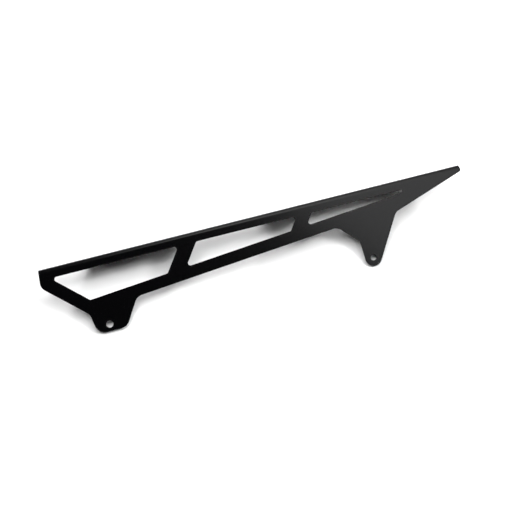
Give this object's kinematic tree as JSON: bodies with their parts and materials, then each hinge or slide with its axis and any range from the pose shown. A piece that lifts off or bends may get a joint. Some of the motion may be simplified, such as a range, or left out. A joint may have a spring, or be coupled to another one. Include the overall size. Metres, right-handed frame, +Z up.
{
  "type": "motorcycle chain guard",
  "caption": "Folded sheet-metal guard for a motorcycle's drive chain: long tapered side plate with cut-out windows, drilled mounting tabs, pointed tail and top flange.",
  "frame": {"origin": "centre of the bounding box, on the ground the guard rests on", "axes": "+X from the guard's front end to its pointed tail, +Y from the tabs to the flange, +Z up from the ground. The guard lies on the flange's free edge and the rear tab, outer face up"},
  "size_m": [0.5002, 0.0946, 0.0282],
  "materials": {
    "satin_black_powder_coat": "satin black powder coat on aluminium sheet, slightly eased at the cut edges"
  },
  "bodies": {
    "root": {"chain_guard": "satin_black_powder_coat"}
  },
  "joints": []
}
